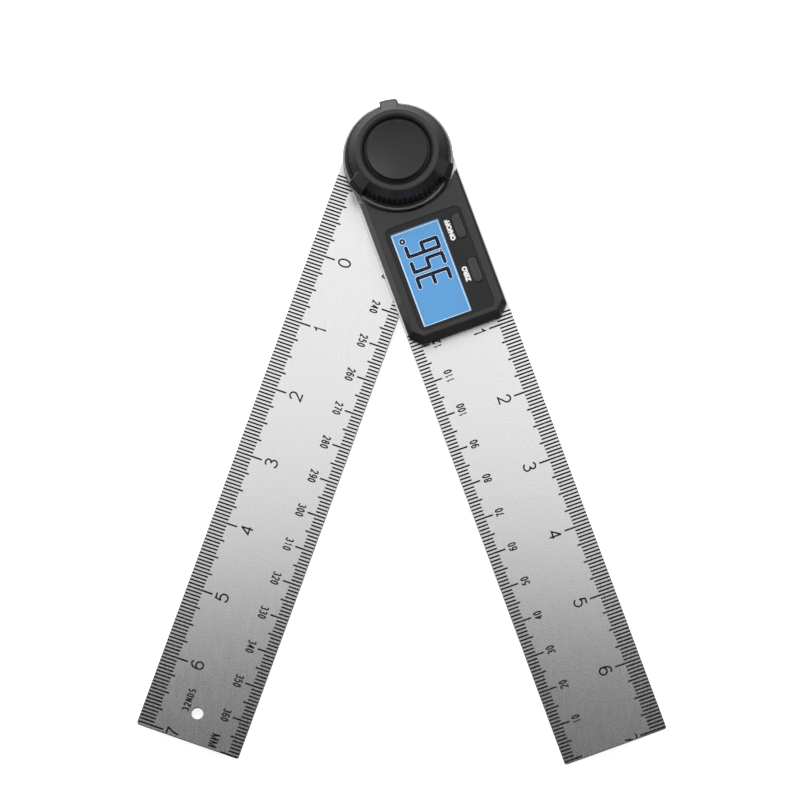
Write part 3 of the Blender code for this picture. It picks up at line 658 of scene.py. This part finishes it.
def lettering(words, height, squeeze, bold):
    """A mesh of words, centred along x and standing on y = 0, from -1 to 1 in thickness."""
    curve = bpy.data.curves.new("words", "FONT")
    curve.body = words
    curve.extrude = letter_thickness_share
    curve.offset = bold
    curve.resolution_u = letter_curve_steps
    holder = bpy.data.objects.new("words", curve)
    bpy.context.scene.collection.objects.link(holder)
    graph = bpy.context.evaluated_depsgraph_get()
    mesh = bpy.data.meshes.new_from_object(holder.evaluated_get(graph))
    bpy.data.objects.remove(holder, do_unlink=True)
    bpy.data.curves.remove(curve)
    spots = [vertex.co for vertex in mesh.vertices]
    left = min(spot.x for spot in spots)
    right = max(spot.x for spot in spots)
    foot = min(spot.y for spot in spots)
    scale = height / (max(spot.y for spot in spots) - foot)
    for vertex in mesh.vertices:
        vertex.co.x = (vertex.co.x - (left + right) / 2) * scale * squeeze
        vertex.co.y = (vertex.co.y - foot) * scale
        vertex.co.z = math.copysign(1.0, vertex.co.z)
    return mesh


def trim_end(bm, reach):
    """Cuts off what was printed past the arm's end."""
    cut = bmesh.ops.bisect_plane(
        bm,
        geom=bm.verts[:] + bm.edges[:] + bm.faces[:],
        plane_co=(0, -reach + mark_edge_gap, 0),
        plane_no=(0, -1, 0),
        clear_outer=True,
    )
    edges = [part for part in cut["geom_cut"] if isinstance(part, bmesh.types.BMEdge)]
    bmesh.ops.holes_fill(bm, edges=edges)


def inch_scale(marks, digits, side, start, pitch, labels, lead, reach, level):
    """Marks and numbers of an inch scale. Start is where the first label stands."""
    step = pitch / marks_per_inch_label
    first = -lead
    last = int((reach - start) / step)
    for number in range(first, last + 1):
        along = start + number * step
        depth = inch_mark
        if number % marks_per_quarter == 0:
            depth = inch_quarter_mark
        if number % marks_per_inch_label == 0 and number >= 0:
            depth = inch_long_mark
        if along < reach - mark_width / 2:
            mark(marks, along, side * half_width, depth, level)
    for place, label in enumerate(labels):
        foot = side * (half_width - inch_digit_foot)
        print_words(digits, str(label), start + place * pitch, foot, inch_size, level)
    trim_end(digits, reach)


def metric_scale(marks, side, places, level):
    """Marks of a millimetre scale, from pairs of a number and its place."""
    for number, along in places:
        depth = metric_mark
        if number % marks_per_five == 0:
            depth = metric_half_mark
        if number % marks_per_ten == 0:
            depth = metric_long_mark
        mark(marks, along, side * half_width, depth, level)


def metric_labels(digits, side, places, level):
    """Numbers of a millimetre scale, from the same pairs."""
    foot = side * (half_width - metric_digit_foot)
    for number, along in places:
        print_words(digits, str(number), along, foot, metric_size, level)


def display_arm_scales(material):
    """Inches on the outer edge, and millimetres from the arm's end on the inner edge."""
    marks = bmesh.new()
    digits = bmesh.new()
    inch_scale(
        marks, digits, 1.0, display_inch_start, display_inch_pitch,
        display_inch_labels, display_inch_lead, display_reach, deck,
    )
    places = [
        (number, display_metric_zero - number * display_metric_pitch)
        for number in range(display_metric_top + 1)
    ]
    metric_scale(marks, -1.0, places, deck)
    labelled = [place for place in places if place[0] % marks_per_ten == 0 and place[0]]
    metric_labels(digits, -1.0, labelled, deck)
    put("display_arm_marks", marks, "display_arm", material, display_turn)
    put("display_arm_numbers", digits, "display_arm", material, display_turn)


def plain_arm_scales(material):
    """Inches on the outer edge, and millimetres that run on from the other arm's."""
    marks = bmesh.new()
    digits = bmesh.new()
    inch_scale(
        marks, digits, -1.0, plain_inch_zero, plain_inch_pitch,
        plain_inch_labels, plain_inch_lead, plain_reach, plain_deck,
    )
    places = [
        (number, plain_metric_start + (number - plain_metric_first) * plain_metric_pitch)
        for number in range(plain_metric_first, plain_metric_last + 1)
    ]
    metric_scale(marks, 1.0, places, plain_deck)
    labelled = [
        place
        for place in places
        if place[0] % marks_per_ten == 0 and place[0] < plain_metric_last
    ]
    metric_labels(digits, 1.0, labelled, plain_deck)
    foot = -(half_width - inch_words_foot)
    print_words(digits, "32NDS", inch_words_place, foot, inch_words_size, plain_deck)
    foot = half_width - metric_words_foot
    print_words(digits, "MM", metric_words_place, foot, metric_words_size, plain_deck)
    put("plain_arm_marks", marks, "plain_arm", material, plain_turn)
    put("plain_arm_numbers", digits, "plain_arm", material, plain_turn)


def on_display(x, y, along, across):
    """A point of a digit, whose x runs towards the pivot and whose y runs to the left."""
    return (across - y, -(along - x))


def segment_bar(bm, start, end, centre, stroke, low, high):
    """One bar of a digit with round ends."""
    first = Vector(start)
    last = Vector(end)
    way = (last - first).normalized()
    side = Vector((-way.y, way.x))
    first += way * digit_joint_gap
    last -= way * digit_joint_gap
    corners = []
    for spot, turned in ((first, math.pi / 2), (last, -math.pi / 2)):
        for step in range(bar_end_steps + 1):
            turn = turned + math.pi * step / bar_end_steps
            reach = way * math.cos(turn) + side * math.sin(turn)
            corners.append(spot + reach * stroke / 2)
    outline = [on_display(corner.x, corner.y, *centre) for corner in corners]
    prism(bm, outline, low, high)


def round_spot(centre, radius):
    """The outline of a round spot, at a place along the arm and across it."""
    turns = [2 * math.pi * side / spot_sides for side in range(spot_sides)]
    return [
        (centre[1] + radius * math.cos(turn), -centre[0] + radius * math.sin(turn))
        for turn in turns
    ]


def tube_ring(bm, centre, inner, outer, low, high):
    """A flat ring with square edges."""
    loops = []
    for radius, level in ((outer, low), (outer, high), (inner, high), (inner, low)):
        outline = round_spot(centre, radius)
        loops.append([bm.verts.new((x, y, level)) for x, y in outline])
    for place, loop in enumerate(loops):
        other = loops[(place + 1) % len(loops)]
        for here in range(len(loop)):
            after = (here + 1) % len(loop)
            bm.faces.new((loop[here], loop[after], other[after], other[here]))


def reading(bm, extra, low, high):
    """The figures of the display, with their strokes this much wider."""
    width = digit_width - digit_stroke
    height = digit_height - digit_stroke
    drop = 0
    for place, lit in enumerate(lit_segments):
        centre = (first_digit_place - place * digit_pitch, digits_across)
        for segment in lit:
            ends = [
                ((x - 0.5) * width, (y - 0.5) * height)
                for x, y in segment_end_shares[segment]
            ]
            drop += bar_step
            stroke = digit_stroke + 2 * extra
            segment_bar(bm, *ends, centre, stroke, low, high - drop)
    prism(bm, round_spot((point_place, point_across), point_radius + extra), low, high)
    inner = degree_bore - extra
    tube_ring(bm, (degree_place, degree_across), inner, degree_radius + extra, low, high)


def display_digits(ink_material, halo_material):
    """The reading on the glass under the clear window, each bar in a faint pale fringe."""
    top = top_of("lcd_panel")
    bm = bmesh.new()
    reading(bm, 0.0, top - ink_height, top + segment_height)
    put("display_digits", bm, "display_arm", ink_material, display_turn)
    bm = bmesh.new()
    reading(bm, digit_halo, top - ink_height, top + halo_height)
    put("display_fringe", bm, "display_arm", halo_material, display_turn)


def local_box(node, turn):
    """The lowest and highest across and y values of a node, in its arm's directions."""
    back = Matrix.Rotation(-turn, 4, "Z")
    points = [back @ vertex.co for vertex in nodes[node].data.vertices]
    xs = [point.x for point in points]
    ys = [point.y for point in points]
    return min(xs), max(xs), min(ys), max(ys)


def wider(box, margin):
    """A box of across and y limits, moved outwards by a margin."""
    left, right, far, near = box
    return left - margin, right + margin, far - margin, near + margin


def frame_strip(bm, box, width, low, high):
    """A thin rectangular frame inside a box."""
    left, right, far, near = box
    rails = [
        (left, right, near - width, near),
        (left, right, far, far + width),
        (left, left + width, far + width, near - width),
        (right - width, right, far + width, near - width),
    ]
    for x0, x1, y0, y1 in rails:
        prism(bm, [(x0, y0), (x1, y0), (x1, y1), (x0, y1)], low, high)


def display_border(material):
    """The pale line just inside the edge of the window."""
    bm = bmesh.new()
    box = wider(local_box("display_lens", display_turn), -display_line_lip)
    low = top_of("lcd_panel") - ink_height
    frame_strip(bm, box, display_line_width, low, low + 2 * segment_height)
    put("display_border", bm, "display_arm", material, display_turn)


def corner_points(box, radius):
    """A rectangle with rounded corners, from its across and y limits."""
    left, right, far, near = box
    centres = [(right - radius, near - radius, 0), (left + radius, near - radius, 1)]
    centres += [(left + radius, far + radius, 2), (right - radius, far + radius, 3)]
    points = []
    for x, y, quarter in centres:
        for step in range(corner_steps + 1):
            turn = (quarter + step / corner_steps) * math.pi / 2
            points.append((x + radius * math.cos(turn), y + radius * math.sin(turn)))
    return points


def pierced_sheet(outlines, low, high):
    """A flat closed sheet within the first outline, with the other outlines cut out."""
    curve = bpy.data.curves.new("sheet", "CURVE")
    curve.dimensions = "2D"
    curve.fill_mode = "BOTH"
    curve.extrude = (high - low) / 2
    for outline in outlines:
        line = curve.splines.new("POLY")
        line.points.add(len(outline) - 1)
        for point, (x, y) in zip(line.points, outline):
            point.co = (x, y, 0, 1)
        line.use_cyclic_u = True
    holder = bpy.data.objects.new("sheet", curve)
    bpy.context.scene.collection.objects.link(holder)
    graph = bpy.context.evaluated_depsgraph_get()
    mesh = bpy.data.meshes.new_from_object(holder.evaluated_get(graph))
    bpy.data.objects.remove(holder, do_unlink=True)
    bpy.data.curves.remove(curve)
    bm = bmesh.new()
    bm.from_mesh(mesh)
    bpy.data.meshes.remove(mesh)
    bmesh.ops.remove_doubles(bm, verts=bm.verts, dist=weld_reach)
    bmesh.ops.translate(bm, verts=bm.verts, vec=(0, 0, (low + high) / 2))
    return bm


def front_sheet(material):
    """The black front of the panel, open at the window and at the two buttons."""
    left, right = local_box("housing_cover", display_turn)[:2]
    panel = (left + housing_slope + panel_rim, right - housing_slope - panel_rim)
    window = local_box("display_lens", display_turn)
    panel += (window[2] - panel_far_rim, window[3] + panel_near_window)
    outlines = [corner_points(wider(panel, -sheet_gap / 2), sheet_corner)]
    outlines.append(corner_points(wider(window, -sheet_gap), sheet_window_corner))
    for name in ("on_off_button", "zero_button"):
        key = local_box(name, display_turn)
        outlines.append(corner_points(wider(key, key_flange_margin), key_corner))
    low = panel_top + sheet_lift
    bm = pierced_sheet(outlines, low, low + sheet_thickness)
    put("front_sheet", bm, "display_arm", material, display_turn)


def panel_words(material):
    """The words beside the two buttons, read towards the pivot."""
    bm = bmesh.new()
    level = panel_top + sheet_lift + sheet_thickness
    for words, along in (("ON/OFF", on_off_label_place), ("ZERO", zero_label_place)):
        mesh = lettering(words, label_height, label_squeeze_share, label_bold_share)
        thick = Matrix.Diagonal((1, 1, (ink_height + ink_depth) / 2, 1))
        turn = Matrix.Rotation(math.pi / 2, 4, "Z")
        middle = level + (ink_height - ink_depth) / 2
        mesh.transform(Matrix.Translation((label_foot, -along, middle)) @ turn @ thick)
        bm.from_mesh(mesh)
        bpy.data.meshes.remove(mesh)
    put("button_words", bm, "display_arm", material, display_turn)


def round_edges(name, width, edge_highlight=None):
    """Breaks the sharp edges of a node of the frame, which keeps its own mesh.

    A pale finish goes on the broken edges alone, as a painted highlight.
    """
    weld = nodes[name].modifiers.new("weld", "WELD")
    weld.merge_threshold = weld_reach
    bevel = nodes[name].modifiers.new("edge", "BEVEL")
    bevel.width = width
    bevel.segments = edge_segments
    bevel.limit_method = "ANGLE"
    bevel.angle_limit = sharp_angle
    if edge_highlight:
        nodes[name].data.materials.append(edge_highlight)
        bevel.material = 1


def numbered(stem, count):
    """The names of the pieces that are told apart by a number."""
    return [f"{stem}_{number}" for number in range(1, count + 1)]


def dress_metals():
    """Steel and brass, with the blades' edges broken."""
    paint(blade_steel("display_blade_steel", display_turn), "display_blade")
    paint(blade_steel("plain_blade_steel", plain_turn), "plain_blade")
    for name in ("display_blade", "plain_blade", "pivot_shaft"):
        round_edges(name, steel_edge)
    steel = turned_steel()
    paint(steel, "pivot_shaft", "wave_washer", "coin_cell", "on_off_switch", "zero_switch")
    paint(steel, *numbered("hub_rivet", hub_rivets))
    paint(steel, *numbered("housing_screw", housing_screws))
    paint(brass(), "pivot_bush", "thrust_washer", "knob_insert")
    paint(brass(), "cell_leaf_contact", "cell_side_contact")


def dress_mouldings():
    """Plastics and rubber, with a painted highlight in pale plastic along their broken edges."""
    tone = (0.014, 0.014, 0.0145)
    housing = moulded("housing_plastic", tone, 0.45, housing_grain, housing_grain_depth)
    paint(housing, "housing_cover", "housing_base", "battery_cover", "dial_disc")
    tone = (0.008, 0.008, 0.0083)
    knob = moulded("knob_plastic", tone, 0.34, knob_grain, knob_grain_depth)
    paint(knob, "knob_body", "rear_cap")
    cap = moulded("cap_plastic", tone, 0.36, knob_grain, cap_grain_depth)
    shader_of(cap).inputs["IOR"].default_value = cap_bend
    paint(cap, "knob_cap")
    tone = (0.026, 0.026, 0.027)
    rubber = moulded("button_rubber", tone, 0.55, rubber_grain, rubber_grain_depth)
    paint(rubber, "on_off_button", "zero_button")
    # A pale plastic on the broken edges: a painted highlight along them
    tone = (0.3, 0.3, 0.305)
    edge_highlight = moulded("painted_edge_highlight", tone, 0.3, knob_grain, edge_highlight_grain_depth)
    for name in ("housing_cover", "housing_base", "dial_disc", "rear_cap", "battery_cover"):
        round_edges(name, plastic_edge, edge_highlight)
    for name in ("on_off_button", "zero_button"):
        round_edges(name, key_edge, edge_highlight)
    round_edges("knob_body", knob_edge, edge_highlight)
    round_edges("knob_cap", knob_edge)


def dress_inside():
    """The display and what the housing and the hub hold."""
    paint(lcd_glass(), "lcd_panel")
    paint(clear_lens(), "display_lens")
    board = plain_finish("board", (0.02, 0.12, 0.05), (0.03, 0.17, 0.07), 0.45, board_grain)
    paint(board, "main_board", "encoder_stator", "encoder_rotor")
    nylon = plain_finish("nylon", (0.74, 0.73, 0.68), (0.82, 0.81, 0.76), 0.5, nylon_grain)
    paint(nylon, "blade_washer")
    milky = plain_finish("diffuser", (0.8, 0.83, 0.86), (0.88, 0.9, 0.93), 0.4, milky_grain)
    paint(milky, "backlight_diffuser")
    strip = plain_finish("strip_rubber", (0.2, 0.2, 0.21), (0.3, 0.3, 0.31), 0.7, strip_grain)
    paint(strip, "near_connector_strip", "far_connector_strip")
    chip = plain_finish("chip", (0.015, 0.015, 0.015), (0.03, 0.03, 0.03), 0.45, chip_grain)
    paint(chip, "controller_chip")
    film = plain_finish("cable_film", (0.5, 0.28, 0.06), (0.65, 0.38, 0.1), 0.35, film_grain)
    paint(film, "encoder_cable")


def direction_share(tree, toward, start, end, low=0.0, high=1.0):
    """A value that follows how far the view lies towards a direction of the world.

    It runs from low to high between start and end, two cosines of the angle to the direction.
    """
    place = tree.nodes.new("ShaderNodeTexCoord")
    dot = tree.nodes.new("ShaderNodeVectorMath")
    dot.operation = "DOT_PRODUCT"
    dot.inputs[1].default_value = Vector(toward).normalized()
    ranged = tree.nodes.new("ShaderNodeMapRange")
    ranged.inputs["From Min"].default_value = start
    ranged.inputs["From Max"].default_value = end
    ranged.inputs["To Min"].default_value = low
    ranged.inputs["To Max"].default_value = high
    tree.links.new(place.outputs["Generated"], dot.inputs[0])
    tree.links.new(dot.outputs["Value"], ranged.inputs["Value"])
    return ranged.outputs["Result"]


def combined(tree, operation, first, *others):
    """The product or the sum of several values."""
    result = first
    for value in others:
        step = tree.nodes.new("ShaderNodeMath")
        step.operation = operation
        tree.links.new(result, step.inputs[0])
        tree.links.new(value, step.inputs[1])
        result = step.outputs["Value"]
    return result


def surroundings():
    """A room with an even pale band over its horizon and one below it that has a bright side."""
    world = bpy.data.worlds.new("studio")
    bpy.context.scene.world = world
    world.use_nodes = True
    tree = world.node_tree
    up = (0, 0, 1)
    blend = band_blend_share
    above = direction_share(tree, up, band_height_share, 0.0)
    upper = direction_share(tree, up, -blend, blend, 0.0, upper_band_level)
    below = direction_share(tree, up, -band_depth_share, 0.0)
    lower = direction_share(tree, up, blend, -blend, 0.0, lower_band_level)
    side = direction_share(tree, band_side, -1.0, 1.0)
    height = room_height_share
    room = direction_share(tree, up, -height, height, room_low_level, room_level)
    over = combined(tree, "MULTIPLY", above, upper)
    under = combined(tree, "MULTIPLY", below, lower, side, side, side)
    total = combined(tree, "ADD", over, under, room)
    sky = tree.nodes["Background"]
    sky.inputs["Color"].default_value = (1.0, 1.0, 1.0, 1.0)
    tree.links.new(total, sky.inputs["Strength"])


def card(name, place, aim, size, radiance):
    """A rectangular light of a given brightness that faces its aim."""
    data = bpy.data.lights.new(name, "AREA")
    data.shape = "RECTANGLE"
    data.size, data.size_y = size
    data.energy = radiance * math.pi * size[0] * size[1]
    lamp = bpy.data.objects.new(name, data)
    bpy.context.scene.collection.objects.link(lamp)
    lamp.location = Vector(place)
    way = Vector(aim) - Vector(place)
    lamp.rotation_euler = way.to_track_quat("-Z", "Y").to_euler()
    lamp.visible_camera = False


def studio():
    """A pale lit floor, a broad card over the far side, a small one for a glint, and a key."""
    mesh = bpy.data.meshes.new("floor")
    corners = [(-1, -1), (1, -1), (1, 1), (-1, 1)]
    spots = [(floor_half * x, floor_half * y, -floor_drop) for x, y in corners]
    mesh.from_pydata(spots, [], [(0, 1, 2, 3)])
    floor = bpy.data.objects.new("floor", mesh)
    bpy.context.scene.collection.objects.link(floor)
    pale = look("floor_paint", (0.92, 0.92, 0.92), 0.7)
    vary_colour(pale, grain(pale, floor_grain), (0.91, 0.91, 0.91), (0.93, 0.93, 0.93))
    shader_of(pale).inputs["Emission Color"].default_value = (1.0, 1.0, 1.0, 1.0)
    shader_of(pale).inputs["Emission Strength"].default_value = floor_glow
    mesh.materials.append(pale)
    floor.visible_glossy = False
    floor.visible_diffuse = False
    floor.visible_shadow = False
    surroundings()
    card("overhead_card", overhead_place, overhead_aim, overhead_size, overhead_radiance)
    card("glint_card", glint_place, glint_aim, glint_size, glint_radiance)
    card("key_card", key_place, key_aim, key_size, key_radiance)
    bpy.context.scene.view_settings.view_transform = "Standard"


def camera():
    """A long lens that looks down at the tool, tilted a little towards its arms."""
    data = bpy.data.cameras.new("camera")
    data.lens = view_lens
    data.sensor_width = sensor
    data.clip_end = 4 * view_distance
    eye = bpy.data.objects.new("camera", data)
    bpy.context.scene.collection.objects.link(eye)
    flat = math.cos(view_tilt)
    way = Vector((math.sin(view_side) * flat, -math.sin(view_tilt), math.cos(view_side) * flat))
    eye.location = view_target + way * view_distance
    up = Vector((0, 1, 0)) - way * way.y
    up.normalize()
    right = up.cross(way)
    turn = Matrix((right, up, way)).transposed()
    eye.rotation_euler = turn.to_euler()
    bpy.context.scene.camera = eye


dress_metals()
dress_mouldings()
dress_inside()
scale_paint = ink()
display_arm_scales(scale_paint)
plain_arm_scales(scale_paint)
line_finish = display_line()
display_digits(lcd_ink(), line_finish)
display_border(line_finish)
front_sheet(panel_black())
panel_words(label_ink())
studio()
camera()
